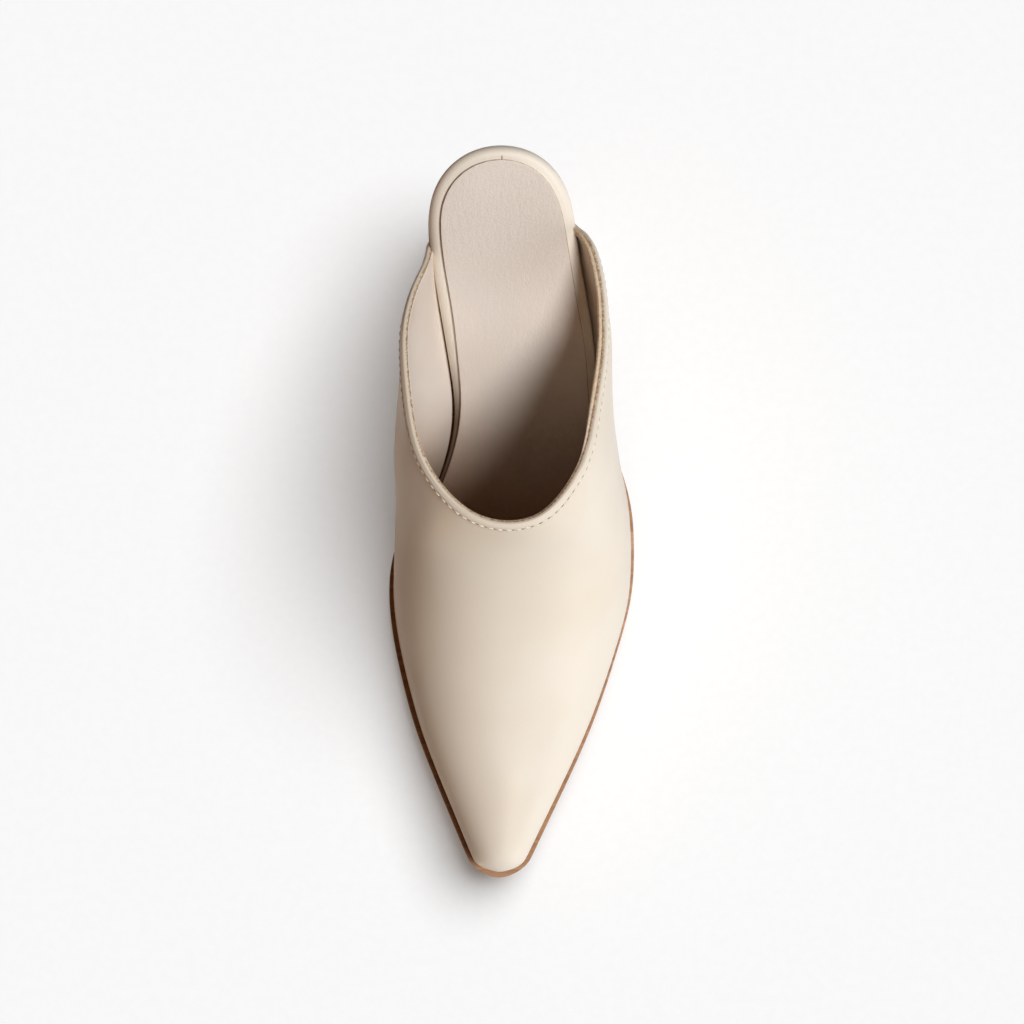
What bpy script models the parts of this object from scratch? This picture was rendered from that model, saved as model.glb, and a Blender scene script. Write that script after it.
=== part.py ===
"""Left heeled mule, standing empty on its sole.

Metres, +Z up, toe towards -Y, outer side of the foot towards +X.
The origin is on the floor, under the middle of the shoe's box.
"""

import math

import bmesh
import bpy
import numpy as np

# Driving sizes, metres
SOLE_LENGTH = 0.247  # heel back to toe tip, along the floor
SEAT_WIDTH = 0.0485  # outsole under the heel of the foot
WAIST_WIDTH = 0.0532  # outsole at its narrowest behind the ball
BALL_WIDTH = 0.0838  # outsole at its widest
TOE_WIDTH = 0.0158  # outsole just behind the rounding of its toe
SEAT_ROUND = 0.0240  # length of the round heel end
TOE_ROUND = 0.0064  # length of the round toe end
SEAT_RISE = 0.0730  # underside of the outsole above the floor, at the heel back
TOE_SPRING = 0.0110  # underside of the outsole above the floor, at the toe
OUTSOLE_THICKNESS = 0.0040
MIDSOLE_THICKNESS = 0.0043
INSOLE_THICKNESS = 0.0064
SOCK_THICKNESS = 0.0008
UPPER_WALL = 0.0020
UPPER_TURN = 0.0024  # radius of the upper's lower edge, where it turns in under the last
UPPER_TUCK = 0.0006  # flat part of the turned-in edge
CLEARANCE = 0.0003  # between pieces that lie on each other
LIFT_THICKNESS = 0.0052
HEEL_TIP_LENGTH = 0.0470  # heel block where it meets the floor
HEEL_TIP_WIDTH = 0.0470
HEEL_TIP_ROUND = 0.0215
HEEL_TIP_START = 0.0140  # foot of the heel's back, ahead of the sole's back
HEEL_TIP_OFFSET = -0.0040  # middle of the heel's foot, towards the inner side
BREAST_ALONG = 0.0565  # heel breast under the sole
BREAST_CHAMFER = 0.0012
THROAT_HEIGHT = 0.1015  # top of the vamp above the floor
SEAT_MARGIN = 0.0  # outsole beyond the insole at the heel back
SEAT_FADE = 0.022  # from the heel back to where the insole makes room for the upper
RIM_ROLL = 0.0032  # rounding of the insole's rim
SOCK_MARGIN = 0.0034  # insole's rim beyond the sock at the heel
TOE_MARGIN = 0.0027  # outsole beyond the upper at the toe
TOE_FRONT = 0.45  # share of the upper's toe height that stands upright
TOE_CROWN = 0.0085  # length of the rounding from the toe's top to its front
EDGE_ROUND = 0.0005  # small rounding of the leather edges

# Outline of the outsole: middle and breadth of a section
# middle is a share of BALL_WIDTH, the rest are shares of the named widths
SOLE_COLUMNS = ("along", "middle", "seat", "waist", "ball", "toe")
SOLE_ROWS = (
    (0.000, -0.080, 1.00, 0.00, 0.00, 0.00),
    (0.097, -0.074, 1.00, 0.00, 0.00, 0.00),
    (0.220, -0.012, 0.00, 1.00, 0.00, 0.00),
    (0.286, 0.020, 0.00, 1.00, 0.00, 0.00),
    (0.348, 0.042, 0.00, 1.00, 0.00, 0.00),
    (0.421, 0.060, 0.00, 0.66, 0.34, 0.00),
    (0.478, 0.045, 0.00, 0.29, 0.71, 0.00),
    (0.538, 0.013, 0.00, 0.02, 0.98, 0.00),
    (0.619, -0.008, 0.00, 0.00, 1.00, 0.00),
    (0.676, -0.020, 0.00, 0.00, 0.918, 0.082),
    (0.733, -0.029, 0.00, 0.00, 0.806, 0.194),
    (0.790, -0.037, 0.00, 0.00, 0.672, 0.328),
    (0.845, -0.043, 0.00, 0.00, 0.510, 0.490),
    (0.900, -0.049, 0.00, 0.00, 0.332, 0.668),
    (0.957, -0.055, 0.00, 0.00, 0.144, 0.856),
    (1.000, -0.058, 0.00, 0.00, 0.000, 1.000),
)

# Underside of the outsole: rise is a share of SEAT_RISE, spring of TOE_SPRING
TREAD_COLUMNS = ("along", "rise", "spring")
TREAD_ROWS = (
    (0.000, 1.000, 0.000),
    (0.100, 0.853, 0.000),
    (0.200, 0.701, 0.000),
    (0.235, 0.645, 0.000),
    (0.270, 0.560, 0.000),
    (0.310, 0.441, 0.000),
    (0.350, 0.310, 0.000),
    (0.390, 0.186, 0.000),
    (0.430, 0.102, 0.000),
    (0.470, 0.053, 0.000),
    (0.510, 0.021, 0.000),
    (0.550, 0.003, 0.000),
    (0.600, -0.003, 0.000),
    (0.640, 0.000, -0.005),
    (0.690, 0.000, 0.080),
    (0.750, 0.000, 0.230),
    (0.830, 0.000, 0.480),
    (0.900, 0.000, 0.710),
    (1.000, 0.000, 1.040),
)

# Layers: shares of MIDSOLE_THICKNESS and INSOLE_THICKNESS
# rim: the insole's rim beyond the sock, share of SOCK_MARGIN
LAYER_COLUMNS = ("along", "midsole", "insole", "rim")
LAYER_ROWS = (
    (0.000, 0.00, 1.00, 1.40),
    (0.050, 0.00, 0.97, 1.10),
    (0.110, 0.00, 0.93, 0.85),
    (0.220, 0.00, 0.86, 0.85),
    (0.290, 0.00, 0.66, 0.66),
    (0.350, 0.10, 0.47, 0.50),
    (0.390, 0.55, 0.43, 0.43),
    (0.430, 0.90, 0.42, 0.42),
    (0.500, 1.00, 0.42, 0.42),
    (0.650, 0.98, 0.42, 0.42),
    (0.850, 0.82, 0.42, 0.42),
    (1.000, 0.74, 0.42, 0.42),
)
MIDSOLE_START = 0.355

# Upper's outer surface over the last
# ridge: height of its top, share of THROAT_HEIGHT; shift: its place across, share of BALL_WIDTH
# swell: how far a side stands out beyond the sole's edge, share of BALL_WIDTH
# waistline: height of that place above the sole, share of THROAT_HEIGHT
# full: Bezier handles from there to the ridge, share of the way; 0.55 is an ellipse
# foot: how far the insole's side of the lower edge is inside the sole's edge, share of BALL_WIDTH
# turn: how far the lower edge is turned in under the last, 1 is flat on the sole
UPPER_COLUMNS = (
    "along", "ridge", "shift",
    "inner_swell", "inner_waistline", "inner_full",
    "outer_swell", "outer_waistline", "outer_full",
    "foot", "turn",
)
UPPER_ROWS = (
    (0.060, 1.52, -0.07, 0.024, 0.20, 0.50, 0.024, 0.14, 0.30, 0.006, 0.00),
    (0.120, 1.50, -0.06, 0.036, 0.24, 0.50, 0.038, 0.14, 0.30, 0.007, 0.00),
    (0.220, 1.45, -0.05, 0.131, 0.29, 0.50, 0.050, 0.13, 0.32, 0.025, 0.00),
    (0.290, 1.38, -0.05, 0.183, 0.31, 0.55, 0.035, 0.15, 0.42, 0.027, 0.10),
    (0.350, 1.31, -0.05, 0.214, 0.32, 0.60, 0.026, 0.16, 0.45, 0.028, 0.30),
    (0.430, 1.19, -0.05, 0.168, 0.30, 0.60, -0.017, 0.15, 0.44, 0.034, 0.80),
    (0.470, 1.10, -0.05, 0.098, 0.26, 0.58, -0.024, 0.12, 0.41, 0.043, 1.00),
    (0.505, 1.00, -0.05, 0.048, 0.20, 0.56, -0.023, 0.10, 0.43, 0.048, 1.00),
    (0.530, 0.89, -0.05, 0.016, 0.17, 0.57, -0.022, 0.10, 0.46, 0.050, 1.00),
    (0.560, 0.78, -0.06, -0.006, 0.14, 0.58, -0.022, 0.09, 0.51, 0.050, 1.00),
    (0.600, 0.675, -0.08, -0.018, 0.11, 0.58, -0.019, 0.09, 0.53, 0.050, 1.00),
    (0.640, 0.590, -0.09, -0.024, 0.10, 0.58, -0.018, 0.08, 0.55, 0.051, 1.00),
    (0.680, 0.517, -0.09, -0.026, 0.08, 0.58, -0.018, 0.08, 0.56, 0.053, 1.00),
    (0.770, 0.414, -0.08, -0.026, 0.07, 0.58, -0.021, 0.07, 0.57, 0.056, 1.00),
    (0.900, 0.360, -0.06, -0.023, 0.06, 0.58, -0.026, 0.06, 0.58, 0.058, 1.00),
    (1.000, 0.325, -0.056, -0.020, 0.05, 0.58, -0.029, 0.05, 0.58, 0.070, 1.00),
)

# Topline: height above the floor on each side, share of THROAT_HEIGHT
TOPLINE_COLUMNS = ("along", "inner", "outer")
TOPLINE_ROWS = (
    (0.060, 0.485, 0.595),
    (0.089, 0.548, 0.664),
    (0.127, 0.632, 0.752),
    (0.160, 0.712, 0.790),
    (0.200, 0.779, 0.820),
    (0.260, 0.845, 0.861),
    (0.320, 0.898, 0.908),
    (0.380, 0.945, 0.950),
    (0.440, 0.980, 0.982),
    (0.505, 1.000, 1.000),
    (0.560, 1.005, 1.005),
)

# Mesh fineness
SOLE_STATIONS = 44
END_STATIONS = 7
UPPER_LOW_STEPS = 5
UPPER_HIGH_STEPS = 12
UPPER_BODY_STEPS = 34
UPPER_CROWDING = 1.15  # more than 1 draws the upper's sections together at its back
CURVE_STEPS = 8
UPPER_TOE_STEPS = 7
HEEL_END_STEPS = 12
HEEL_SIDE_STEPS = 7

COLOURS = {
    "cream": ((0.80, 0.70, 0.57, 1.0), 0.42),
    "nude": ((0.68, 0.56, 0.48, 1.0), 0.55),
    "edge": ((0.33, 0.17, 0.07, 1.0), 0.45),
    "stack": ((0.45, 0.25, 0.12, 1.0), 0.5),
    "lift": ((0.24, 0.15, 0.075, 1.0), 0.6),
}


def spline(columns, rows, name):
    """Smooth curve through one column of a table, as a function of the share along the shoe."""
    at = np.array([row[0] for row in rows])
    value = np.array([row[columns.index(name)] for row in rows])
    count = len(at)
    step = np.diff(at)
    matrix = np.eye(count)
    right = np.zeros(count)
    for i in range(1, count - 1):
        matrix[i, i - 1] = step[i - 1]
        matrix[i, i] = 2 * (step[i - 1] + step[i])
        matrix[i, i + 1] = step[i]
        before = (value[i] - value[i - 1]) / step[i - 1]
        after = (value[i + 1] - value[i]) / step[i]
        right[i] = 6 * (after - before)
    bend = np.linalg.solve(matrix, right)

    def evaluate(along):
        share = min(max(along / SOLE_LENGTH, at[0]), at[-1])
        i = min(int(np.searchsorted(at, share, side="right")) - 1, count - 2)
        i = max(i, 0)
        left = (at[i + 1] - share) / step[i]
        right_part = 1 - left
        curve = (left**3 - left) * bend[i] + (right_part**3 - right_part) * bend[i + 1]
        return float(left * value[i] + right_part * value[i + 1] + curve * step[i] ** 2 / 6)

    return evaluate


def table(columns, rows):
    """One curve for each named column."""
    return {name: spline(columns, rows, name) for name in columns[1:]}


SOLE = table(SOLE_COLUMNS, SOLE_ROWS)
TREAD = table(TREAD_COLUMNS, TREAD_ROWS)
LAYER = table(LAYER_COLUMNS, LAYER_ROWS)
UPPER = table(UPPER_COLUMNS, UPPER_ROWS)
TOPLINE = table(TOPLINE_COLUMNS, TOPLINE_ROWS)


def round_end(distance, length):
    """1 well inside an end, falling to 0 at it along a quarter ellipse."""
    if distance >= length:
        return 1.0
    return math.sqrt(max(0.0, 1 - (1 - distance / length) ** 2))


def middle(along):
    return SOLE["middle"](along) * BALL_WIDTH


def half_breadth(along):
    """Half of the outsole's width, before its ends are rounded."""
    widths = (("seat", SEAT_WIDTH), ("waist", WAIST_WIDTH), ("ball", BALL_WIDTH), ("toe", TOE_WIDTH))
    return 0.5 * sum(SOLE[name](along) * width for name, width in widths)


def sole_edge(along, side):
    """Edge of the outsole: side is -1 for the inner side and 1 for the outer one."""
    ends = round_end(along, SEAT_ROUND) * round_end(SOLE_LENGTH - along, TOE_ROUND)
    return middle(along) + side * half_breadth(along) * ends


def middle_of_box():
    """Where the middle of the outline's box lies across the shoe."""
    places = [SOLE_LENGTH * i / 400 for i in range(401)]
    inner = min(sole_edge(along, -1) for along in places)
    outer = max(sole_edge(along, 1) for along in places)
    return 0.5 * (inner + outer)


BOX_MIDDLE = middle_of_box()


def world(across, along, height):
    return (across - BOX_MIDDLE, 0.5 * SOLE_LENGTH - along, height)


def tread(along):
    """Height of the outsole's underside; the ball rests flat on the floor."""
    height = TREAD["rise"](along) * SEAT_RISE + TREAD["spring"](along) * TOE_SPRING
    return max(height, 0.0)


def lean(along):
    """How much longer an upright thickness is than one square to the sole."""
    step = 0.002
    slope = (tread(along + step) - tread(along - step)) / (2 * step)
    return math.sqrt(1 + min(abs(slope), 1.2) ** 2)


def outsole_top(along):
    return tread(along) + OUTSOLE_THICKNESS * lean(along)


def midsole_top(along):
    """Top of the sole under the upper: the midsole where there is one, else the outsole."""
    layer = max(LAYER["midsole"](along), 0.0) * MIDSOLE_THICKNESS
    return outsole_top(along) + layer * lean(along)


def feather(along):
    return midsole_top(along) + CLEARANCE


def insole_height(along):
    return LAYER["insole"](along) * INSOLE_THICKNESS * lean(along)


def upper_foot(along):
    """How far the inner side of the upper's lower edge is inside the outsole's edge."""
    return UPPER["foot"](along) * BALL_WIDTH


def insole_margin(along):
    """How far the insole stands inside the outsole's edge."""
    fade = min(along / SEAT_FADE, 1.0)
    fade = fade**2 * (3 - 2 * fade)
    return SEAT_MARGIN + fade * (upper_foot(along) + CLEARANCE - SEAT_MARGIN)


def stations(start, end, round_start, round_end_length):
    """Places along the shoe, closer together where an end is round."""
    places = []
    if round_start:
        for i in range(END_STATIONS):
            angle = 0.5 * math.pi * i / END_STATIONS
            places.append(start + round_start * (1 - math.cos(angle)))
    body_start = start + round_start
    body_end = end - round_end_length
    for i in range(SOLE_STATIONS + 1):
        places.append(body_start + (body_end - body_start) * i / SOLE_STATIONS)
    if round_end_length:
        for i in range(1, END_STATIONS + 1):
            angle = 0.5 * math.pi * i / END_STATIONS
            places.append(body_end + round_end_length * math.sin(angle))
    return places


def outline(places, edge):
    """Closed plan outline: the inner side from heel to toe, then the outer side back."""
    inner = [(edge(along, -1), along) for along in places]
    outer = [(edge(along, 1), along) for along in places]
    return inner + outer[::-1]


def inset(loop, distance):
    """The loop moved inwards, by a distance that may change along the shoe."""
    points = np.array(loop)
    count = len(points)
    moved = []
    for i in range(count):
        here = points[i]
        back = i - 1
        ahead = (i + 1) % count
        while np.hypot(*(points[back] - here)) < 1e-6:
            back -= 1
        while np.hypot(*(points[ahead] - here)) < 1e-6:
            ahead = (ahead + 1) % count
        tangent = points[ahead] - points[back]
        tangent /= np.hypot(*tangent)
        normal = np.array((tangent[1], -tangent[0]))
        moved.append(tuple(here + distance(here[1]) * normal))
    return moved


def material(name):
    colour, roughness = COLOURS[name]
    made = bpy.data.materials.new(name)
    made.use_nodes = True
    shader = made.node_tree.nodes["Principled BSDF"]
    shader.inputs["Base Color"].default_value = colour
    shader.inputs["Roughness"].default_value = roughness
    made.diffuse_color = colour
    return made


def add_object(name, mesh_maker, finish, smooth_angle=40):
    mesh = bpy.data.meshes.new(name)
    build = bmesh.new()
    mesh_maker(build)
    bmesh.ops.remove_doubles(build, verts=build.verts, dist=1e-6)
    bmesh.ops.recalc_face_normals(build, faces=build.faces)
    build.to_mesh(mesh)
    build.free()
    mesh.shade_smooth()
    mesh.set_sharp_from_angle(angle=math.radians(smooth_angle))
    mesh.materials.append(finish)
    made = bpy.data.objects.new(name, mesh)
    SHOE.objects.link(made)
    return made


def add_face(build, corners):
    """A face whose doubled corners are dropped."""
    kept = []
    for vertex in corners:
        if all((vertex.co - other.co).length > 1e-6 for other in kept):
            kept.append(vertex)
    if len(kept) > 2:
        build.faces.new(kept)


def skin(build, rings):
    """Faces between closed rings of as many points each."""
    for low, high in zip(rings, rings[1:]):
        for i in range(len(low)):
            j = (i + 1) % len(low)
            add_face(build, (low[i], low[j], high[j], high[i]))


def ladder(build, ring):
    """Faces that close a ring, from its inner side across to its outer side."""
    half = len(ring) // 2
    for i in range(half - 1):
        add_face(build, (ring[i], ring[i + 1], ring[-2 - i], ring[-1 - i]))


def plate(name, loop, layers, finish, smooth_angle=40):
    """A sheet of leather: each layer is an inset of the outline and a height along the shoe."""

    def make(build):
        rings = []
        for distance, height in layers:
            ring = []
            for across, along in inset(loop, distance):
                ring.append(build.verts.new(world(across, along, height(along))))
            rings.append(ring)
        skin(build, rings)
        ladder(build, rings[0])
        ladder(build, rings[-1])

    return add_object(name, make, finish, smooth_angle)


def constant(value):
    return lambda along: value


def make_outsole(finish):
    loop = outline(stations(0, SOLE_LENGTH, SEAT_ROUND, TOE_ROUND), sole_edge)
    layers = (
        (constant(EDGE_ROUND), tread),
        (constant(0), lambda along: tread(along) + EDGE_ROUND),
        (constant(0), lambda along: outsole_top(along) - 0.5 * EDGE_ROUND),
        (constant(0.5 * EDGE_ROUND), outsole_top),
    )
    return plate("outsole", loop, layers, finish)


def make_midsole(finish):
    start = MIDSOLE_START * SOLE_LENGTH
    loop = outline(stations(start, SOLE_LENGTH, 0, TOE_ROUND), sole_edge)
    layers = (
        (constant(0.5 * EDGE_ROUND), lambda along: outsole_top(along) + CLEARANCE),
        (constant(0), lambda along: outsole_top(along) + CLEARANCE + 0.1 * EDGE_ROUND),
        (constant(0), lambda along: midsole_top(along) - 0.1 * EDGE_ROUND),
        (constant(EDGE_ROUND), midsole_top),
    )
    return plate("midsole", loop, layers, finish)


def insole_outline():
    loop = outline(stations(0, SOLE_LENGTH, SEAT_ROUND, TOE_ROUND), sole_edge)
    return inset(loop, insole_margin)


def rolled(share):
    """Rim of the insole at a share of its rounding: how far in, and how high."""
    angle = 0.5 * math.pi * share
    return 1 - math.cos(angle), math.sin(angle)


def make_insole(finish):
    upright = 0.42  # share of the rim's height under its rounding

    def roll(along):
        return RIM_ROLL * min(1.0, LAYER["insole"](along))

    def layer(share):
        inwards, upwards = rolled(share)
        return (
            lambda along: roll(along) * inwards,
            lambda along: feather(along) + insole_height(along) * (upright + (1 - upright) * upwards),
        )

    layers = [
        (constant(2 * EDGE_ROUND), feather),
        (constant(0.5 * EDGE_ROUND), lambda along: feather(along) + 0.12 * insole_height(along)),
    ]
    layers += [layer(step / 5) for step in range(6)]
    return plate("insole", insole_outline(), layers, finish)


def sock_margin(along):
    """Rim of the insole that shows round the sock."""
    return SOCK_MARGIN * LAYER["rim"](along)


def make_sock(finish):
    def bottom(along):
        return feather(along) + insole_height(along) + CLEARANCE

    def top(along):
        return bottom(along) + SOCK_THICKNESS * lean(along)

    loop = inset(insole_outline(), sock_margin)
    layers = (
        (constant(0), bottom),
        (constant(0), lambda along: top(along) - 0.3 * EDGE_ROUND),
        (constant(0.5 * EDGE_ROUND), top),
    )
    return plate("sock", loop, layers, finish)


def resample(points, count):
    """The curve through the points, as count + 1 points at even steps along it."""
    points = np.array(points)
    lengths = np.hypot(*np.diff(points, axis=0).T)
    travelled = np.concatenate(((0.0,), np.cumsum(lengths)))
    wanted = np.linspace(0, travelled[-1], count + 1)
    across = np.interp(wanted, travelled, points[:, 0])
    height = np.interp(wanted, travelled, points[:, 1])
    return list(zip(across, height))


def bezier(start, first, second, end, count):
    """Points on a cubic curve, without its start."""
    corners = np.array((start, first, second, end))
    points = []
    for i in range(1, count + 1):
        t = i / count
        weights = ((1 - t) ** 3, 3 * t * (1 - t) ** 2, 3 * t**2 * (1 - t), t**3)
        points.append(tuple(np.array(weights) @ corners))
    return points


def side_curve(name, along, bottom, top, top_across):
    """One side of the upper, measured outwards from the sole's middle: lower edge to ridge."""
    half = half_breadth(along)
    wide = half + UPPER[name + "_swell"](along) * BALL_WIDTH
    waistline = UPPER[name + "_waistline"](along) * THROAT_HEIGHT
    waistline = bottom + min(waistline, 0.6 * (top - bottom))
    turn = 0.5 * math.pi * min(max(UPPER["turn"](along), 0.0), 1.0)
    centre_across = half - upper_foot(along) + UPPER_TUCK * math.sin(turn)
    centre_height = bottom + UPPER_TURN * math.sin(turn) + UPPER_TUCK * math.cos(turn)
    flare = (wide - centre_across - UPPER_TURN) / (0.6 * (waistline - bottom))
    last = min(math.atan(flare), turn)
    curve = []
    for i in range(CURVE_STEPS + 1):
        angle = turn + (last - turn) * i / CURVE_STEPS
        across = centre_across + UPPER_TURN * math.cos(angle)
        curve.append((across, centre_height - UPPER_TURN * math.sin(angle)))
    start = curve[-1]
    handle = (start[0] + 0.4 * (wide - start[0]), start[1] + 0.24 * (waistline - start[1]))
    above = (wide, start[1] + 0.6 * (waistline - start[1]))
    low = bezier(start, handle, above, (wide, waistline), CURVE_STEPS)
    full = UPPER[name + "_full"](along)
    above = (wide, waistline + full * (top - waistline))
    beside = (top_across + full * (wide - top_across), top)
    high = bezier((wide, waistline), above, beside, (top_across, top), 2 * CURVE_STEPS)
    edge = (
        curve[0][0] - UPPER_TUCK * math.sin(turn),
        curve[0][1] - UPPER_TUCK * math.cos(turn),
    )
    low = [edge] + resample(curve + low, UPPER_LOW_STEPS - 1)
    return low + resample([low[-1]] + high, UPPER_HIGH_STEPS)[1:]


def upper_section(along, end):
    """Outer surface of the upper across the shoe, from its inner lower edge over the ridge to the outer one."""
    tip = round_end(end - along, TOE_ROUND - (SOLE_LENGTH - end))
    bottom = feather(along)
    rise = UPPER["ridge"](along) * THROAT_HEIGHT - bottom
    crown = TOE_FRONT + (1 - TOE_FRONT) * round_end(end - along, TOE_CROWN)
    centre = middle(along)
    shift = UPPER["shift"](along) * BALL_WIDTH - centre
    section = []
    for name, side in (("inner", -1), ("outer", 1)):
        curve = side_curve(name, along, bottom, bottom + rise, side * shift)
        points = []
        for across, height in curve:
            points.append((centre + side * across * tip, bottom + (height - bottom) * crown))
        section.append(points)
    inner, outer = section
    return inner + outer[-2::-1]


def topline_place(column, end):
    """Where the topline crosses one line of the upper, found by halving."""
    name = "inner" if column <= UPPER_LOW_STEPS + UPPER_HIGH_STEPS else "outer"
    low = UPPER_ROWS[0][0] * SOLE_LENGTH
    high = TOPLINE_ROWS[-1][0] * SOLE_LENGTH
    for _ in range(24):
        half = 0.5 * (low + high)
        height = upper_section(half, end)[column][1]
        if height > TOPLINE[name](half) * THROAT_HEIGHT:
            low = half
        else:
            high = half
    return 0.5 * (low + high)


def column_end(column, end):
    """Front end of one line of the upper: the turned-in edge stops short of the toe."""
    along = end - TOE_CROWN
    height = upper_section(along, end)[column][1] - feather(along)
    below = max(UPPER_TURN - height, 0.0)
    tuck = UPPER_TUCK if column in (0, 2 * (UPPER_LOW_STEPS + UPPER_HIGH_STEPS)) else 0.0
    return end - UPPER_TURN + math.sqrt(UPPER_TURN**2 - below**2) - tuck


def upper_line(column, start, end):
    """Places along one line of the upper, from the topline to the toe."""
    body_end = end - TOE_CROWN
    front = column_end(column, end)
    places = []
    for i in range(UPPER_BODY_STEPS + 1):
        places.append(start + (body_end - start) * (i / UPPER_BODY_STEPS) ** UPPER_CROWDING)
    for i in range(1, UPPER_TOE_STEPS + 1):
        angle = 0.5 * math.pi * i / UPPER_TOE_STEPS
        places.append(body_end + (front - body_end) * math.sin(angle))
    return places, front


def make_upper(finish):
    end = SOLE_LENGTH - TOE_MARGIN
    columns = 2 * (UPPER_LOW_STEPS + UPPER_HIGH_STEPS)

    def make(build):
        lines = []
        for column in range(columns + 1):
            places, front = upper_line(column, topline_place(column, end), end)
            line = []
            for along in places:
                across, height = upper_section(along, front)[column]
                line.append(build.verts.new(world(across, along, height)))
            lines.append(line)
        for column in range(columns // 2):
            lines[columns - column][-1].co = lines[column][-1].co
        for left, right in zip(lines, lines[1:]):
            for i in range(len(left) - 1):
                add_face(build, (left[i], left[i + 1], right[i + 1], right[i]))

    made = add_object("upper", make, finish, 60)
    wall = made.modifiers.new("wall", "SOLIDIFY")
    wall.thickness = UPPER_WALL
    wall.offset = -1
    wall.use_even_offset = True
    wall.use_rim = True
    return made


def heel_outline(length, start, half_width, round_length, offset, chamfer):
    """Plan outline of the heel: round back, straight sides and a flat breast with cut corners."""
    places = []
    for i in range(HEEL_END_STEPS):
        angle = 0.5 * math.pi * i / HEEL_END_STEPS
        places.append(round_length * (1 - math.cos(angle)))
    for i in range(HEEL_SIDE_STEPS + 1):
        places.append(round_length + (length - chamfer - round_length) * i / HEEL_SIDE_STEPS)

    def edge(place, side):
        along = start + place
        return offset(along) + side * half_width(along) * round_end(place, round_length)

    inner = [(edge(place, -1), start + place) for place in places]
    outer = [(edge(place, 1), start + place) for place in places]
    inner.append((inner[-1][0] + chamfer, start + length))
    outer.append((outer[-1][0] - chamfer, start + length))
    return inner + outer[::-1]


def heel_rings():
    """Outline of the heel under the sole, and where it meets the floor."""
    seat = heel_outline(
        BREAST_ALONG, 0, half_breadth, SEAT_ROUND, middle, BREAST_CHAMFER
    )
    seat = inset(seat, constant(0.5 * EDGE_ROUND))
    tip = heel_outline(
        HEEL_TIP_LENGTH,
        HEEL_TIP_START,
        constant(0.5 * HEEL_TIP_WIDTH),
        HEEL_TIP_ROUND,
        constant(HEEL_TIP_OFFSET),
        BREAST_CHAMFER,
    )
    top = [(across, along, tread(along) - CLEARANCE) for across, along in seat]
    bottom = [(across, along, 0.0) for across, along in tip]
    return np.array(top), np.array(bottom)


def heel_slice(top, bottom, height):
    """The heel's outline at one height, along the straight lines from seat to floor."""
    share = (height - bottom[:, 2]) / (top[:, 2] - bottom[:, 2])
    return bottom + (top - bottom) * share[:, None]


def add_ring(build, points):
    return [build.verts.new(world(*point)) for point in points]


def make_heel(finish):
    top, bottom = heel_rings()
    foot = heel_slice(top, bottom, LIFT_THICKNESS + CLEARANCE)

    def make(build):
        rings = [add_ring(build, foot + (top - foot) * share) for share in (0, 0.33, 0.66, 1)]
        skin(build, rings)
        ladder(build, rings[0])
        ladder(build, rings[-1])

    return add_object("heel", make, finish, 30)


def make_lift(finish):
    top, bottom = heel_rings()
    upper_ring = heel_slice(top, bottom, LIFT_THICKNESS)

    def make(build):
        rings = [add_ring(build, bottom), add_ring(build, upper_ring)]
        skin(build, rings)
        ladder(build, rings[0])
        ladder(build, rings[-1])

    return add_object("top_lift", make, finish, 30)


for old in list(bpy.data.objects):
    bpy.data.objects.remove(old, do_unlink=True)

SHOE = bpy.data.collections.new("heeled_mule")
bpy.context.scene.collection.children.link(SHOE)
FINISHES = {name: material(name) for name in COLOURS}

make_outsole(FINISHES["edge"])
make_midsole(FINISHES["edge"])
make_insole(FINISHES["cream"])
make_sock(FINISHES["nude"])
make_upper(FINISHES["cream"])
make_heel(FINISHES["stack"])
make_lift(FINISHES["lift"])
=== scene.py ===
import bisect
import math

import bmesh
import bpy
from mathutils import Matrix, Vector, noise
from mathutils.bvhtree import BVHTree
from mathutils.kdtree import KDTree


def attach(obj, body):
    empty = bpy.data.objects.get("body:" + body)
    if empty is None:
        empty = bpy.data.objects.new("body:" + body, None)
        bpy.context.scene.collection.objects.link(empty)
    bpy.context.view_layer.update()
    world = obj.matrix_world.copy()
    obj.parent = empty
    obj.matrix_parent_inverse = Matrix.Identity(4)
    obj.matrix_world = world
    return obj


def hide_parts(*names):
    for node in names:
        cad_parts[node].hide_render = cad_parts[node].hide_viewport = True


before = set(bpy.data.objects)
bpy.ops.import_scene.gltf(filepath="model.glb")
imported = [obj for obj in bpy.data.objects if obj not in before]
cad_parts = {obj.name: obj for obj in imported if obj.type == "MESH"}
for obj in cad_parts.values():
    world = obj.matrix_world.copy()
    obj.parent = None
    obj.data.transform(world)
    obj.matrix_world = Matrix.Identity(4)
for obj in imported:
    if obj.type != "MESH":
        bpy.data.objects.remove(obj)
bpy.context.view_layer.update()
mm = 0.001


def mergedCopy(nodeName):
    # a CAD node's loose triangles, welded and paired back into its four-sided faces
    bm = bmesh.new()
    bm.from_mesh(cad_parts[nodeName].data)
    bmesh.ops.remove_doubles(bm, verts=bm.verts[:], dist=0.01 * mm)
    bmesh.ops.join_triangles(bm, faces=bm.faces[:], angle_face_threshold=math.radians(60),
                             angle_shape_threshold=math.radians(120), topology_influence=2.0)
    return bm


def sharpEdges(bm, angle):
    return {e for e in bm.edges
            if len(e.link_faces) != 2 or e.calc_face_angle(0) > math.radians(angle)}


def sheets(bm):
    # the faces in groups that no sharp edge divides, the largest group first
    walls = sharpEdges(bm, 45)
    groups, seen = [], set()
    for face in bm.faces:
        if face in seen:
            continue
        seen.add(face)
        group, waiting = [], [face]
        while waiting:
            here = waiting.pop()
            group.append(here)
            for edge in here.edges:
                if edge in walls:
                    continue
                for other in edge.link_faces:
                    if other not in seen:
                        seen.add(other)
                        waiting.append(other)
        groups.append(group)
    return sorted(groups, key=lambda g: -sum(f.calc_area() for f in g))


def crease(bm, angle, amount=1.0):
    layer = bm.edges.layers.float.new("crease_edge")
    for edge in sharpEdges(bm, angle):
        edge[layer] = amount


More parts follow.
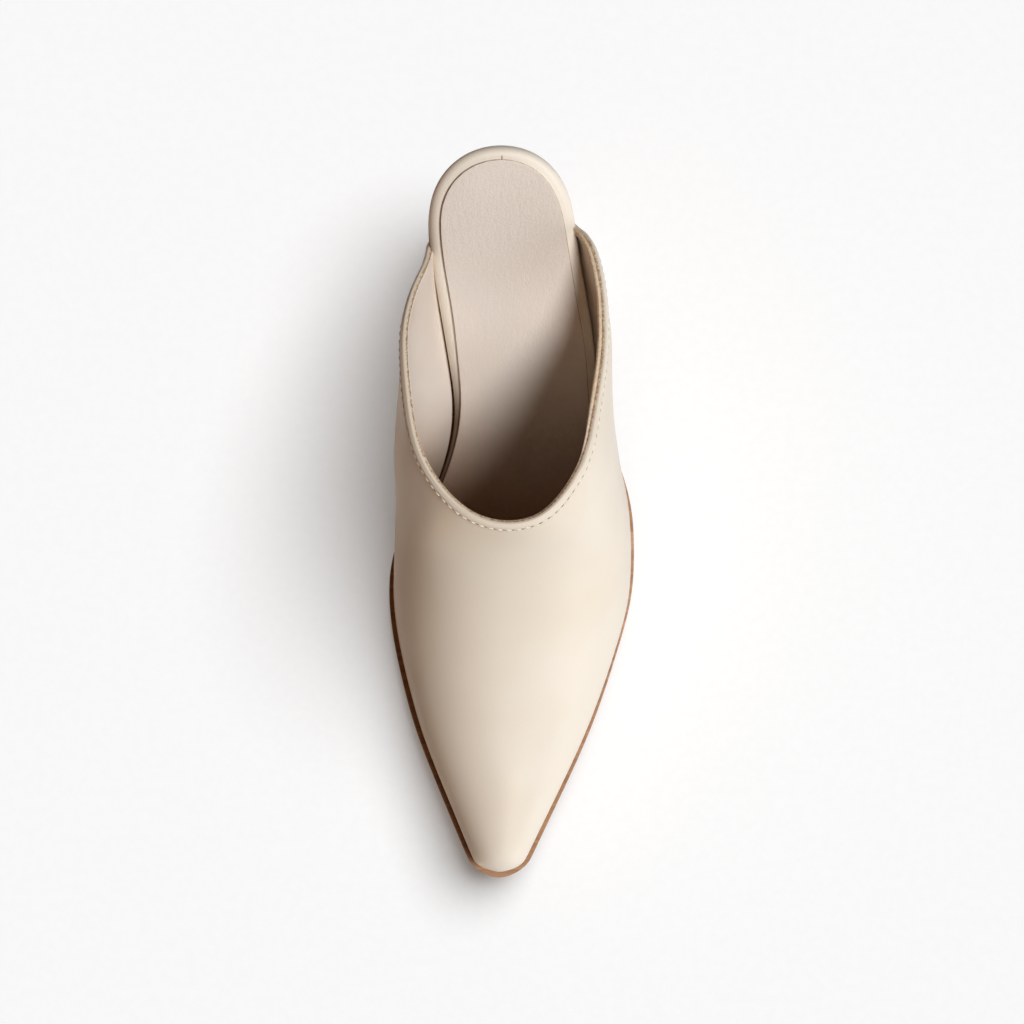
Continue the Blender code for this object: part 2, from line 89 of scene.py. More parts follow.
def smoothed(bm, levels=2, thickness=0.0):
    # the mesh after Subdivision Surface, with a wall first where a thickness is given
    mesh = bpy.data.meshes.new("work")
    bm.to_mesh(mesh)
    bm.free()
    holder = bpy.data.objects.new("work", mesh)
    bpy.context.scene.collection.objects.link(holder)
    if thickness:
        wall = holder.modifiers.new("wall", "SOLIDIFY")
        wall.thickness = thickness
        wall.offset = -1.0
        wall.use_even_offset = True
    round_ = holder.modifiers.new("round", "SUBSURF")
    round_.levels = round_.render_levels = levels
    round_.boundary_smooth = "PRESERVE_CORNERS"
    bpy.context.view_layer.update()
    made = bmesh.new()
    made.from_mesh(holder.evaluated_get(bpy.context.evaluated_depsgraph_get()).to_mesh())
    bpy.data.objects.remove(holder)
    bpy.data.meshes.remove(mesh)
    return made


def softenEdges(bm, width, segments):
    bmesh.ops.bevel(bm, geom=list(sharpEdges(bm, 40)), offset=width, offset_type="OFFSET",
                    affect="EDGES", segments=segments, profile=0.5, material=-1,
                    clamp_overlap=True)


def newLayers(bm, *names):
    # a number for every vertex, which a material reads as an attribute
    return [bm.verts.layers.float.new(name) for name in names]


def finishPiece(bm, name, finish, replaced=(), sharpAngle=50):
    mesh = bpy.data.meshes.new(name)
    bm.to_mesh(mesh)
    bm.free()
    mesh.materials.clear()
    mesh.materials.append(finish)
    mesh.polygons.foreach_set("use_smooth", [True] * len(mesh.polygons))
    mesh.set_sharp_from_angle(angle=math.radians(sharpAngle))
    piece = bpy.data.objects.new(name, mesh)
    bpy.context.scene.collection.objects.link(piece)
    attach(piece, "root")
    if replaced:
        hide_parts(*replaced)


def chained(edges):
    # the corners along a row of joined edges, from one end to the other
    links = {}
    for edge in edges:
        a, b = edge.verts
        links.setdefault(a, []).append(b)
        links.setdefault(b, []).append(a)
    ends = [v for v in links if len(links[v]) == 1]
    here = max(ends or links, key=lambda v: v.co.x)
    row, last = [here], None
    while True:
        onward = [v for v in links[here] if v is not last and v not in row[-2:]]
        if not onward:
            return [v.co.copy() for v in row]
        last, here = here, onward[0]
        row.append(here)
        if here is row[0]:
            return [v.co.copy() for v in row]


class Guide:
    # a line on the shoe that tells how far a point lies from it and how far along it
    def __init__(self, points):
        step = 0.25 * mm
        self.points, self.run = [], []
        travelled = 0.0
        for a, b in zip(points, points[1:]):
            length = (b - a).length
            count = max(1, round(length / step))
            for i in range(count):
                self.points.append(a.lerp(b, i / count))
                self.run.append(travelled + length * i / count)
            travelled += length
        self.points.append(points[-1])
        self.run.append(travelled)
        self.length = travelled
        self.tree = KDTree(len(self.points))
        for i, point in enumerate(self.points):
            self.tree.insert(point, i)
        self.tree.balance()

    def nearest(self, point):
        _, index, distance = self.tree.find(point)
        return self.run[index], distance

    def at(self, run):
        return bisect.bisect_right(self.run, run, 1, len(self.run) - 1) - 1


def outlineOf(nodeName):
    # the upper edge line of a plate, read from its own sharp edges
    bm = mergedCopy(nodeName)
    top = next(g for g in sheets(bm) if sum(f.normal.z * f.calc_area() for f in g) > 0)
    faces = set(top)
    rim = [e for e in bm.edges if sum(f in faces for f in e.link_faces) == 1]
    guide = Guide(chained(rim))
    bm.free()
    return guide


def rising(span, value):
    # 0 before the span, 1 after it
    low, high = span
    t = min(1.0, max(0.0, (value - low) / (high - low)))
    return t * t * (3.0 - 2.0 * t)


def falling(span, value):
    return 1.0 - rising(span, value)


def innerSide(x):
    # 1 at the inner side of the foot, fading out at the middle of the shoe
    return falling((-18 * mm, 2 * mm), x)


class Wire:
    # a node's output; sums on it add Math nodes
    def __init__(self, finish, socket):
        self.finish = finish
        self.socket = socket

    def sum(self, operation, first, second):
        return self.finish.node("Math", {"operation": operation}, {0: first, 1: second})

    def __add__(self, other):
        return self.sum("ADD", self, other)

    __radd__ = __add__

    def __sub__(self, other):
        return self.sum("SUBTRACT", self, other)

    def __rsub__(self, other):
        return self.sum("SUBTRACT", other, self)

    def __mul__(self, other):
        return self.sum("MULTIPLY", self, other)

    __rmul__ = __mul__


class Finish:
    # a material that is put together from nodes
    def __init__(self, name, **fixed):
        self.material = bpy.data.materials.new(name)
        self.material.use_nodes = True
        self.tree = self.material.node_tree
        self.shader = next(n for n in self.tree.nodes if n.type == "BSDF_PRINCIPLED")
        for socket, value in fixed.items():
            self.shader.inputs[socket.replace("_", " ")].default_value = value
        self.place = self.node("TexCoord", output="Object")

    def node(self, kind, settings=None, values=None, output=0):
        made = self.tree.nodes.new("ShaderNode" + kind)
        for name, value in (settings or {}).items():
            setattr(made, name, value)
        for socket, value in (values or {}).items():
            if isinstance(value, Wire):
                self.tree.links.new(value.socket, made.inputs[socket])
            else:
                made.inputs[socket].default_value = value
        return Wire(self, made.outputs[output])

    def attribute(self, name):
        return self.node("Attribute", {"attribute_name": name}, output="Fac")

    def noise(self, scale, detail=2.0, rough=0.5, place=None, stretch=None):
        where = place or self.place
        if stretch:
            where = self.node("Mapping", values={"Vector": where, "Scale": stretch})
        return self.node("TexNoise", values={"Vector": where, "Scale": scale,
                                             "Detail": detail, "Roughness": rough})

    def spread(self, value, low, high, to=(0.0, 1.0)):
        return self.node("MapRange", {"interpolation_type": "SMOOTHSTEP"},
                         {"Value": value, "From Min": low, "From Max": high,
                          "To Min": to[0], "To Max": to[1]})

    def blend(self, factor, first, second):
        # sockets 6 and 7 take the colours and output 2 gives one
        asColour = [(*c, 1.0) if isinstance(c, tuple) else c for c in (first, second)]
        return self.node("Mix", {"data_type": "RGBA"},
                         {0: factor, 6: asColour[0], 7: asColour[1]}, output=2)

    def absolute(self, value):
        return self.node("Math", {"operation": "ABSOLUTE"}, {0: value})

    def bump(self, heightInMm):
        return self.node("Bump", values={"Height": heightInMm, "Distance": mm, "Strength": 1.0})

    def wear(self, **sockets):
        for name, wire in sockets.items():
            self.tree.links.new(wire.socket, self.shader.inputs[name.replace("_", " ")])
        return self.material


def rgb(red, green, blue):
    # a colour as it is read from a screen, 0 to 255, made linear
    return tuple(((c / 255 + 0.055) / 1.055) ** 2.4 if c > 10 else c / 3294.6
                 for c in (red, green, blue))


leatherLook = {
    "pale": rgb(238, 229, 214),
    "deep": rgb(232, 219, 200),
    "flesh": rgb(174, 138, 102),
    "fleshPale": rgb(240, 220, 190),
    # painted shade in the needle holes of the stitch row
    "hole": rgb(70, 48, 32),
    # painted shade along the stitch groove
    "stitchGroovePaintedShade": rgb(196, 172, 142),
    "stitchLine": 2.75,  # mm from the fold
    "stitchPitch": 2.85,  # mm
    "holeSquash": 0.22,  # holes are longer than wide
    "lineEdge": (0.55, 0.0),  # mm from the middle of the line
    "holeEdge": (0.32, 0.17),  # mm from the middle of a hole
    # shape; a place along the shoe is in m, with the heel at +y
    "thick": 1.45 * mm,
    "rowsAtTopline": 5,  # narrow rows of faces, also on the lining
    "outerWing": (15 * mm, 45 * mm),  # where it begins and where it is in full
    # the raw edge that is turned in: how deep in the wall it begins, in mm
    "turned": (0.75, 1.05),
    "turnedByWing": 0.25,  # less deep on the outer wing
    "innerWingShare": -0.6,
    "tipShare": 0.3,  # what is left of it at the outer wing's tip
    "tipFade": (3 * mm, 12 * mm),
    # the folded edge, on the outside of the wall alone
    "outside": (0.3, 0.7),  # mm into the wall
    "foldLong": 6 * mm,
    "foldHigh": 0.34 * mm,
    "moreWhereSteep": 1.3,
    "steepFade": (30 * mm, 55 * mm),  # on the outer side
    "foldRise": (0.0, 1.4),  # mm from the fold
    "foldFall": (3.2, 4.3),  # mm from the fold
    "grooveDeep": 0.16 * mm,
    "grooveWide": 0.36 * mm,
    # the wings' ends, by how far away the tip is
    "tip": (0.0, 9 * mm),
    "innerIn": 1.3 * mm,
    "innerInLong": (0.0, 24 * mm),
    "innerTipBack": 1.2 * mm,
    "outerTipIn": 1.3 * mm,
    "outerTipForward": 1.5 * mm,
    "bulge": 1.2 * mm,
    "bulgeFrom": (4 * mm, 15 * mm),
    "bulgeTo": (16 * mm, 45 * mm),
    "bulgeDeep": (4 * mm, 13 * mm),  # from the topline
}


def creamLeather():
    look = leatherLook
    f = Finish("cream leather", Roughness=0.42, Specular_IOR_Level=0.24, Coat_Weight=0.03,
               Coat_Roughness=0.3, Specular_Tint=(1.0, 0.8, 0.6, 1.0))
    cloud = f.noise(14.0, detail=3.0)
    fine = f.noise(1900.0, detail=2.0, rough=0.6)
    pores = f.node("TexVoronoi", {"feature": "DISTANCE_TO_EDGE"},
                   {"Vector": f.place, "Scale": 1500.0}, output="Distance")
    colour = f.blend(f.spread(cloud, 0.35, 0.65), look["deep"], look["pale"])
    colour = f.blend(f.spread(fine, 0.3, 0.75, (0.0, 0.10)), colour, look["deep"])
    away = f.attribute("fromTopline")  # mm
    along = f.attribute("alongTopline")  # mm
    turned = f.attribute("turnedIn")
    line = f.spread(f.absolute(away - look["stitchLine"]), *look["lineEdge"])
    step = f.node("Math", {"operation": "PINGPONG"}, {0: along, 1: look["stitchPitch"] / 2})
    across = f.node("Math", {"operation": "POWER"}, {0: away - look["stitchLine"], 1: 2.0})
    reach = f.node("Math", {"operation": "SQRT"}, {0: step * step * look["holeSquash"] + across})
    hole = f.spread(reach, *look["holeEdge"])
    hole = hole * (1.0 - turned)
    pull = f.spread(step, 0.0, look["stitchPitch"] / 2) * line
    # painted shade along the stitch groove
    colour = f.blend(line * 0.16, colour, look["stitchGroovePaintedShade"])
    # painted shade: the needle holes are darkened, besides the bump that sinks them
    colour = f.blend(hole * 0.8, colour, look["hole"])
    suede = f.noise(1100.0, detail=4.0, rough=0.75)
    raw = f.blend(f.spread(suede, 0.38, 0.62), look["flesh"], look["fleshPale"])
    colour = f.blend(turned, colour, raw)
    rough = f.spread(f.noise(60.0, detail=3.0), 0.3, 0.7, (0.38, 0.46)) + turned * 0.45
    height = (fine * 0.010 + f.spread(pores, 0.0, 0.25, (-0.012, 0.0)) + pull * 0.05
              - hole * 0.22 + turned * suede * 0.06)
    return f.wear(Base_Color=colour, Roughness=rough, Normal=f.bump(height))


def upperSheet(index):
    # one skin of the upper as an open sheet; its edge along the topline is marked as a seam
    bm = mergedCopy("upper")
    groups = sheets(bm)
    rim = max(groups[2:6], key=lambda g: max(v.co.z for f in g for v in f.verts))
    rimEdges = {e for f in rim for e in f.edges}
    keep = set(groups[index])
    for face in keep:
        for edge in face.edges:
            edge.seam = edge in rimEdges
    drop = [f for f in bm.faces if f not in keep]
    bmesh.ops.delete(bm, geom=drop, context="FACES")
    return bm


def sheetWithRows(index):
    # the sheet with narrow rows of faces along its topline
    bm = upperSheet(index)
    top = {v for e in bm.edges if e.seam for v in e.verts}
    across = [e for e in bm.edges if not e.seam and len(set(e.verts) & top) == 1
              and len(e.link_faces) == 2]
    bmesh.ops.subdivide_edges(bm, edges=across, cuts=leatherLook["rowsAtTopline"],
                              use_grid_fill=True)
    return bm


def surfaceOf(index):
    # one skin as it looks when smoothed: its topline and a tree for nearest points
    bm = smoothed(upperSheet(index))
    line = Guide(chained([e for e in bm.edges if e.seam]))
    tree = BVHTree.FromBMesh(bm)
    bm.free()
    return line, tree


def toTips(v, line):
    return min((v.co - line.points[i]).length for i in (0, -1))


def tuckIn(v, line):
    # the inner wing's end lies close against the insole's rim, the outer wing's end is rounded
    look = leatherLook
    ends = toTips(v, line)
    tip = falling(look["tip"], ends)
    if v.co.x < 0.0:
        v.co.x += look["innerIn"] * falling(look["innerInLong"], ends)
        v.co.y += look["innerTipBack"] * tip
    else:
        _, away = line.nearest(v.co)
        bulge = rising(look["bulgeFrom"], ends) * falling(look["bulgeTo"], ends)
        bulge *= falling(look["bulgeDeep"], away)
        v.co.x += look["bulge"] * bulge - look["outerTipIn"] * tip
        v.co.y -= look["outerTipForward"] * tip


def foldHeight(away, normal, point):
    # how far the folded edge stands off the leather, higher where the side is steep
    look = leatherLook
    steep = 1.0 - abs(normal.z)
    if point.x > 0.0:
        steep *= falling(look["steepFade"], point.y)
    plateau = rising(look["foldRise"], away / mm) - rising(look["foldFall"], away / mm)
    groove = math.exp(-((away - look["stitchLine"] * mm) / look["grooveWide"]) ** 2)
    return (look["foldHigh"] * (1.0 + look["moreWhereSteep"] * steep) * plateau
            - look["grooveDeep"] * groove)


def makeLeather(line, skin):
    look = leatherLook
    bm = smoothed(sheetWithRows(0), thickness=look["thick"])
    away, along, turned = newLayers(bm, "fromTopline", "alongTopline", "turnedIn")
    low, high = look["turned"]
    bm.normal_update()
    for v in bm.verts:
        run, distance = line.nearest(v.co)
        _, _, _, depth = skin.find_nearest(v.co)
        v[away] = distance / mm
        v[along] = run / mm
        outer = v.co.x > 0.0
        wing = rising(look["outerWing"], v.co.y) * (1.0 if outer else look["innerWingShare"])
        shift = look["turnedByWing"] * wing
        v[turned] = rising((low - shift, high - shift), depth / mm)
        if outer:
            share = look["tipShare"]
            v[turned] *= share + (1.0 - share) * rising(look["tipFade"], toTips(v, line))
        outside = falling(look["outside"], depth / mm)
        if outside > 0.0 and distance < look["foldLong"]:
            v.co += v.normal * foldHeight(distance, v.normal, v.co) * outside
        tuckIn(v, line)
    print("upper leather", len(bm.faces), "faces, topline", round(line.length / mm), "mm")
    finishPiece(bm, "upper_leather", creamLeather(), ("upper",), 70)


liningLook = {
    "nude": rgb(232, 219, 206),
    "nudePale": rgb(240, 229, 216),
    # painted shade: the lining under the vamp is darkened, which also dims the light thrown into
    # the throat
    "underVampShade": rgb(88, 62, 42),
    # painted shade low on the lining, near the insole
    "insoleShade": rgb(150, 118, 92),
    # painted shade on the inner side's lining toward the waist
    "waist": rgb(164, 138, 112),
    # painted shade in the gap between the lining and the insole's rim
    "gap": rgb(84, 54, 32),
    "gapShadeEdge": (2.0, 1.0),  # mm from the insole
    # painted light: the lining of the outer wing is made paler and greyer
    "outerWingPaintedLight": rgb(240, 240, 240),
    "raw": rgb(168, 132, 97),
    "rawPale": rgb(238, 216, 184),
    # painted light on the raw edge of the outer wing
    "rawEdgePaintedLight": rgb(240, 220, 192),
    "thick": 0.50 * mm,
    "dropEven": 0.35 * mm,  # its cut edge below the fold
    "dropOuterWing": 0.1 * mm,
    "dropFade": (20 * mm, 75 * mm),
    "innerWingShare": 0.35,
    "dropMost": 0.8,  # of the face that it moves on
    "rawDepth": (0.10, 0.34),  # mm into the wall
    "rawLong": (2.6, 3.4),  # mm from the topline
    "rawOnWing": (1.0, 1.7),  # mm from the topline
    "push": 1.0 * mm,  # out to the edge of the outer wing
    "pushDepth": (0.1, 0.4),  # mm into the wall
    "pushLong": (0.8, 4.5),  # mm from the topline
    "underVampShadeFade": (-25 * mm, -5 * mm),
    "waistFade": (5 * mm, 48 * mm),
    "insoleShadeNear": (0.8, 6.0),  # mm from the insole
    "insoleShadeFade": (35 * mm, 60 * mm),
}


def liningLeather():
    look = liningLook
    f = Finish("lining leather", Roughness=0.62, Specular_IOR_Level=0.3)
    cloud = f.noise(25.0, detail=3.0)
    grain = f.node("TexVoronoi", {"feature": "SMOOTH_F1"}, {"Vector": f.place, "Scale": 1300.0})
    colour = f.blend(f.spread(cloud, 0.3, 0.7), look["nude"], look["nudePale"])
    # painted shade on the lining under the vamp
    colour = f.blend(f.attribute("underVampShade"), colour, look["underVampShade"])
    # painted shade low on the lining, near the insole
    colour = f.blend(f.attribute("atInsole") * 0.65, colour, look["insoleShade"])
    # painted shade on the inner side's lining toward the waist
    colour = f.blend(f.attribute("waist"), colour, look["waist"])
    # painted shade in the gap between the lining and the insole's rim
    gap = f.spread(f.attribute("toRim"), *look["gapShadeEdge"])
    colour = f.blend(gap * 0.85, colour, look["gap"])
    # painted light on the outer wing's lining and raw edge
    outer = f.attribute("outerWingPaintedLight")
    colour = f.blend(outer * 0.5, colour, look["outerWingPaintedLight"])
    raw = f.attribute("rawEdge")
    fuzz = f.noise(1000.0, detail=4.0, rough=0.75)
    tan = f.blend(f.spread(fuzz, 0.38, 0.62), look["raw"], look["rawPale"])
    tan = f.blend(outer * 0.6, tan, look["rawEdgePaintedLight"])
    colour = f.blend(raw, colour, tan)
    height = grain * 0.02 + raw * fuzz * 0.18
    rough = f.spread(cloud, 0.3, 0.7, (0.56, 0.66)) + raw * 0.3
    return f.wear(Base_Color=colour, Roughness=rough, Normal=f.bump(height))


def lowerCutEdge(bm):
    look = liningLook
    top = {v for e in bm.edges if e.seam for v in e.verts}
    moves = {}
    for v in top:
        below = [e.other_vert(v) for e in v.link_edges if e.other_vert(v) not in top]
        if below:
            way = sum((b.co - v.co for b in below), Vector()).normalized()
            wing = rising(look["dropFade"], v.co.y)
            wing *= 1.0 if v.co.x > 0 else look["innerWingShare"]
            drop = look["dropEven"] + (look["dropOuterWing"] - look["dropEven"]) * wing
            shortest = min((b.co - v.co).length for b in below)
            moves[v] = way * min(drop, look["dropMost"] * shortest)
    for v, step in moves.items():
        v.co += step


def makeLining(line, insoleLine):
    look = liningLook
    innerLine, innerSkin = surfaceOf(1)
    bm = sheetWithRows(1)
    lowerCutEdge(bm)
    bm = smoothed(bm, thickness=look["thick"])
    raw, inside, insoleShade, waist, toRim, outer = newLayers(
        bm, "rawEdge", "underVampShade", "atInsole", "waist", "toRim", "outerWingPaintedLight")
    bm.normal_update()
    for v in bm.verts:
        _, distance = innerLine.nearest(v.co)
        _, _, _, depth = innerSkin.find_nearest(v.co)  # 0 on the side of the foot
        away, depth = distance / mm, depth / mm
        v[raw] = rising(look["rawDepth"], depth) * falling(look["rawLong"], away)
        wing = rising(leatherLook["outerWing"], v.co.y) if v.co.x > 0 else 0.0
        if wing:
            v.co += v.normal * look["push"] * wing * falling(look["pushDepth"], depth) * (
                falling(look["pushLong"], away))
            v[raw] = max(v[raw], wing * falling(look["rawOnWing"], away))
        # painted shade on the lining under the vamp
        v[inside] = falling(look["underVampShadeFade"], v.co.y)
        _, gap = insoleLine.nearest(v.co)
        v[toRim] = gap / mm
        # painted shade on the inner side's lining toward the waist
        v[waist] = falling(look["waistFade"], v.co.y) * innerSide(v.co.x)
        # painted light on the outer wing
        v[outer] = wing
        # painted shade low on the lining, near the insole
        v[insoleShade] = falling(look["insoleShadeNear"], gap / mm) * falling(look["insoleShadeFade"], v.co.y)
        tuckIn(v, line)
    print("lining", len(bm.faces), "faces")
    finishPiece(bm, "upper_lining", liningLeather())


stitchLook = {
    "shade": rgb(226, 214, 186),
    "pale": rgb(246, 239, 222),
    "long": 1.95 * mm,
    "wide": 0.62 * mm,
    "high": 0.62 * mm,
    "lift": 0.06 * mm,
    # a try that gets less far than this share of the way to the groove is off the leather
    "wrongWay": 0.6,
    "noRoom": 0.75,
}


def threadFinish():
    look = stitchLook
    f = Finish("thread", Roughness=0.6, Specular_IOR_Level=0.3)
    twist = f.noise(1700.0, detail=2.0)
    colour = f.blend(f.spread(twist, 0.3, 0.7), look["shade"], look["pale"])
    return f.wear(Base_Color=colour, Roughness=f.spread(twist, 0.3, 0.7, (0.5, 0.7)),
                  Normal=f.bump(twist * 0.05))


def makeStitches(line, skin):
    look = stitchLook
    seed = bmesh.new()
    bmesh.ops.create_uvsphere(seed, u_segments=8, v_segments=5, radius=0.5)
    shape = bpy.data.meshes.new("stitch")
    seed.to_mesh(shape)
    seed.free()
    bm = bmesh.new()
    reach = leatherLook["stitchLine"] * mm
    pitch = leatherLook["stitchPitch"] * mm
    count = int(line.length / pitch)
    for i in range(1, count):
        here = line.at((i + 0.5) * pitch)
        point = line.points[here]
        ahead = line.points[min(here + 3, len(line.points) - 1)]
        behind = line.points[max(here - 3, 0)]
        tangent = (ahead - behind).normalized()
        _, normal, _, _ = skin.find_nearest(point)
        down = normal.cross(tangent).normalized()
        tried, _, _, _ = skin.find_nearest(point + down * reach)
        if (tried - point).length < look["wrongWay"] * reach:
            down = -down
        spot, normal, _, _ = skin.find_nearest(point + down * reach)
        if (spot - point).length < look["noRoom"] * reach:
            continue
        tangent = (tangent - normal * tangent.dot(normal)).normalized()
        side = normal.cross(tangent)
        before = len(bm.verts)
        bm.from_mesh(shape)
        bm.verts.ensure_lookup_table()
        centre = spot + normal * (foldHeight(reach, normal, spot) + look["lift"])
        for v in bm.verts[before:]:
            along, wide, high = v.co
            v.co = (centre + tangent * along * look["long"] + side * wide * look["wide"]
                    + normal * high * look["high"])
            tuckIn(v, line)
    bmesh.ops.recalc_face_normals(bm, faces=bm.faces[:])
    print("stitches", len(bm.verts) // len(shape.vertices))
    finishPiece(bm, "topline_stitches", threadFinish(), (), 80)


insoleLook = {
    "cream": rgb(239, 226, 208),
    "pale": rgb(246, 236, 220),
    "speck": rgb(214, 196, 172),
    # painted shade in the groove along the sock's edge
    "groove": rgb(120, 84, 56),
    "shade": rgb(84, 52, 28),
    "grooveEdge": (0.75, 0.1),  # mm outside the sock
    "seamWide": (0.30, 0.12),  # mm from its middle
    "seamLong": (1.6, 1.1),  # mm outside the sock
    "crease": 0.4,
    "sidePlump": 0.85 * mm,  # wrapping leather, beyond the sole under it
    "outerPlumpFade": (-5 * mm, 20 * mm),
    "innerPlumpFade": (25 * mm, 75 * mm),
    "backPlump": 0.3 * mm,
    "backPlumpFade": (20 * mm, 60 * mm),
    "grooveLeast": 0.4,  # of its tone, toward the toe
    "grooveFade": (15 * mm, 60 * mm),
    "shadeFade": (33 * mm, 58 * mm),
}


def rimLeather(seamAt):
    look = insoleLook
    f = Finish("insole wrap leather", Roughness=0.45, Specular_IOR_Level=0.45)
    cloud = f.noise(20.0, detail=3.0)
    fine = f.noise(2000.0, detail=2.0, rough=0.6)
    colour = f.blend(f.spread(cloud, 0.35, 0.65), look["cream"], look["pale"])
    colour = f.blend(f.spread(fine, 0.3, 0.75, (0.0, 0.12)), colour, look["speck"])
    groove = f.attribute("fromSock")  # mm outside the sock's edge
    side = f.node("SeparateXYZ", values={0: f.place}, output="X")
    offSeam = f.absolute((side - seamAt) * 1000.0)
    # the short seam at the back, where the ends of the wrap meet
    seam = f.spread(offSeam, *look["seamWide"]) * f.spread(groove, *look["seamLong"])
    edge = f.node("Math", {"operation": "MAXIMUM"},
                  {0: f.spread(groove, *look["grooveEdge"]), 1: seam})
    # the groove's darkening is painted shade, weaker toward the toe; the seam is a dark joint
    dark = edge * f.attribute("openSeat")
    colour = f.blend(dark * 0.75, colour, look["groove"])
    colour = f.blend(f.attribute("inShade") * 0.9, colour, look["shade"])
    height = fine * 0.010 - dark * 0.10
    return f.wear(Base_Color=colour, Roughness=f.spread(cloud, 0.3, 0.7, (0.42, 0.5)),
                  Normal=f.bump(height))


def makeInsole(sockLine):
    look = insoleLook
    bm = mergedCopy("insole")
    crease(bm, 45, look["crease"])
    bm = smoothed(bm)
    groove, openSeat, shade = newLayers(bm, "fromSock", "openSeat", "inShade")
    bm.normal_update()
    for v in bm.verts:
        _, distance = sockLine.nearest(v.co)
        least = look["grooveLeast"]
        v[groove] = distance / mm
        # painted shade in the groove along the sock's edge, weaker toward the toe
        v[openSeat] = least + (1.0 - least) * rising(look["grooveFade"], v.co.y)
        v[shade] = falling(look["shadeFade"], v.co.y) * innerSide(v.co.x)
        fade = "outerPlumpFade" if v.co.x > 0.0 else "innerPlumpFade"
        sides = look["sidePlump"] * rising(look[fade], v.co.y)
        back = look["backPlump"] * rising(look["backPlumpFade"], v.co.y)
        v.co += Vector((v.normal.x * sides, v.normal.y * back, 0.0))
    print("insole", len(bm.faces), "faces")
    seamAt = max(sockLine.points, key=lambda p: p.y).x
    finishPiece(bm, "wrapped_insole", rimLeather(seamAt), ("insole",), 60)


sockLook = {
    "nude": rgb(221, 207, 193),
    "pale": rgb(231, 219, 206),
    "pebble": rgb(196, 176, 158),
    # painted light on the middle of the sock
    "middle": rgb(239, 226, 213),
    # painted shade on the sock in the throat
    "deep": rgb(157, 115, 85),
    "cutEdge": rgb(140, 98, 62),
    "burntEdge": (0.35, 0.0),  # mm inside the cut edge
    "crease": 0.75,
    "longEdge": 12 * mm,  # longer ones are cut, for an even net
    "cuts": 5,
    "throatShadeFade": (-10 * mm, 52 * mm),
    "middleFrom": (25 * mm, 45 * mm),
    "middleTo": (70 * mm, 95 * mm),
    "swellScale": 55.0,
    "swellHigh": 0.12 * mm,
    "swellInside": 1.5 * mm,  # from the cut edge
}


def sockLeather():
    look = sockLook
    f = Finish("sock leather", Roughness=0.5, Specular_IOR_Level=0.42)
    cloud = f.noise(18.0, detail=4.0)
    pebble = f.node("TexVoronoi", {"feature": "SMOOTH_F1"},
                    {"Vector": f.place, "Scale": 1500.0, "Smoothness": 0.7})
    wrinkle = f.noise(620.0, detail=4.0, rough=0.6, stretch=(1.0, 0.36, 0.36))
    colour = f.blend(f.spread(cloud, 0.3, 0.7), look["nude"], look["pale"])
    colour = f.blend(f.spread(pebble, 0.25, 0.75, (0.0, 0.14)), colour, look["pebble"])
    # painted light on the middle of the sock
    colour = f.blend(f.attribute("middle"), colour, look["middle"])
    # painted shade on the sock in the throat
    colour = f.blend(f.attribute("deep"), colour, look["deep"])
    burnt = f.spread(f.attribute("toEdge"), *look["burntEdge"])
    colour = f.blend(burnt, colour, look["cutEdge"])
    height = (1.0 - pebble) * 0.06 + wrinkle * 0.15 - burnt * 0.08
    return f.wear(Base_Color=colour, Roughness=f.spread(wrinkle, 0.3, 0.7, (0.45, 0.6)),
                  Normal=f.bump(height))


def makeSock(sockLine):
    look = sockLook
    bm = mergedCopy("sock")
    long = [e for e in bm.edges if e.calc_length() > look["longEdge"]]
    bmesh.ops.subdivide_edges(bm, edges=long, cuts=look["cuts"], use_grid_fill=True)
    crease(bm, 45, look["crease"])
    bm = smoothed(bm)
    edge, deep, middle = newLayers(bm, "toEdge", "deep", "middle")
    for v in bm.verts:
        _, distance = sockLine.nearest(v.co)
        # painted shade on the sock in the throat
        v[deep] = falling(look["throatShadeFade"], v.co.y)
        # painted light on the middle of the sock
        v[middle] = rising(look["middleFrom"], v.co.y) * falling(look["middleTo"], v.co.y)
        v[edge] = distance / mm
        if distance > look["swellInside"]:
            v.co.z += noise.noise(v.co * look["swellScale"]) * look["swellHigh"]
    print("sock", len(bm.faces), "faces")
    finishPiece(bm, "sock_leather", sockLeather(), ("sock",), 60)


soleLook = {
    "tan": rgb(150, 104, 66),
    "tanPale": rgb(196, 150, 106),
    "hair": rgb(128, 84, 50),
    "bare": rgb(184, 140, 98),
    "barePale": rgb(203, 162, 120),
    "edgeRound": 0.3 * mm,
    "underside": (0.6, 0.9),  # how squarely a face looks down
}


def soleEdge():
    look = soleLook
    f = Finish("sole edge leather", Roughness=0.48, Specular_IOR_Level=0.45, Coat_Weight=0.15,
               Coat_Roughness=0.35)
    rise = f.attribute("rise")  # mm above the underside
    run = f.attribute("run")  # mm along the sole
    lies = f.node("CombineXYZ", values={0: run * 0.001, 1: rise * 0.02, 2: 0.0})
    streak = f.noise(60.0, detail=5.0, rough=0.65, place=lies)
    hair = f.noise(260.0, detail=3.0, rough=0.6, place=lies)
    colour = f.blend(f.spread(streak, 0.3, 0.7), look["tan"], look["tanPale"])
    colour = f.blend(f.spread(hair, 0.35, 0.7, (0.0, 0.45)), colour, look["hair"])
    height = streak * 0.05 + hair * 0.03
    under = f.attribute("under")
    nap = f.noise(340.0, detail=5.0, rough=0.65)
    bare = f.blend(f.spread(nap, 0.3, 0.7), look["bare"], look["barePale"])
    colour = f.blend(under, colour, bare)
    height = height + under * nap * 0.05
    rough = f.spread(hair, 0.3, 0.7, (0.42, 0.56)) + under * 0.14
    return f.wear(Base_Color=colour, Roughness=rough, Normal=f.bump(height))


